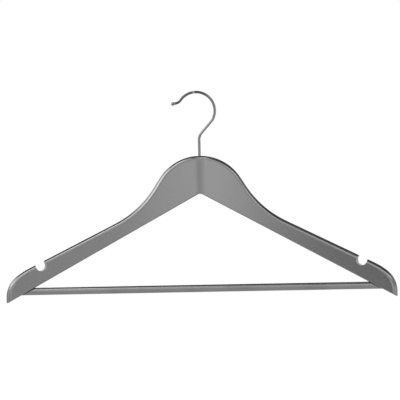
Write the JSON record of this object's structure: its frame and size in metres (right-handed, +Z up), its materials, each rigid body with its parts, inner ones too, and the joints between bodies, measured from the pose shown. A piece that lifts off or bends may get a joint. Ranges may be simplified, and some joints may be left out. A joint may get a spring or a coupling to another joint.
{
  "type": "trouser hanger",
  "caption": "Contoured wooden suit hanger with a round trouser bar, a strap notch in each shoulder and a swivelling wire hook that hangs on a wardrobe rail.",
  "frame": {"origin": "the rail seat: the inside of the hook, straight above the axis that the hook swivels on", "axes": "+X along the hanger towards its right shoulder as seen in the picture, +Z up, and both shoulders sweep forward towards -Y"},
  "size_m": [0.445, 0.0569, 0.2402],
  "materials": {
    "lacquered_wood": "satin silver-grey lacquer over wood",
    "chromed_wire": "polished chrome on steel wire",
    "plain_steel": "plain zinc-plated steel"
  },
  "bodies": {
    "hook_body": {"hook": "chromed_wire", "hook_washer": "plain_steel", "lock_nut": "plain_steel"},
    "wooden_body": {"left_shoulder": "lacquered_wood", "right_shoulder": "lacquered_wood", "trouser_bar": "lacquered_wood", "bar_brads": "plain_steel"}
  },
  "joints": [
    {"name": "hook_swivel", "type": "hinge", "parent": "hook_body", "child": "wooden_body", "pos_m": [0, 0, -0.0896], "axis": [0, 0, 1], "continuous": true}
  ]
}
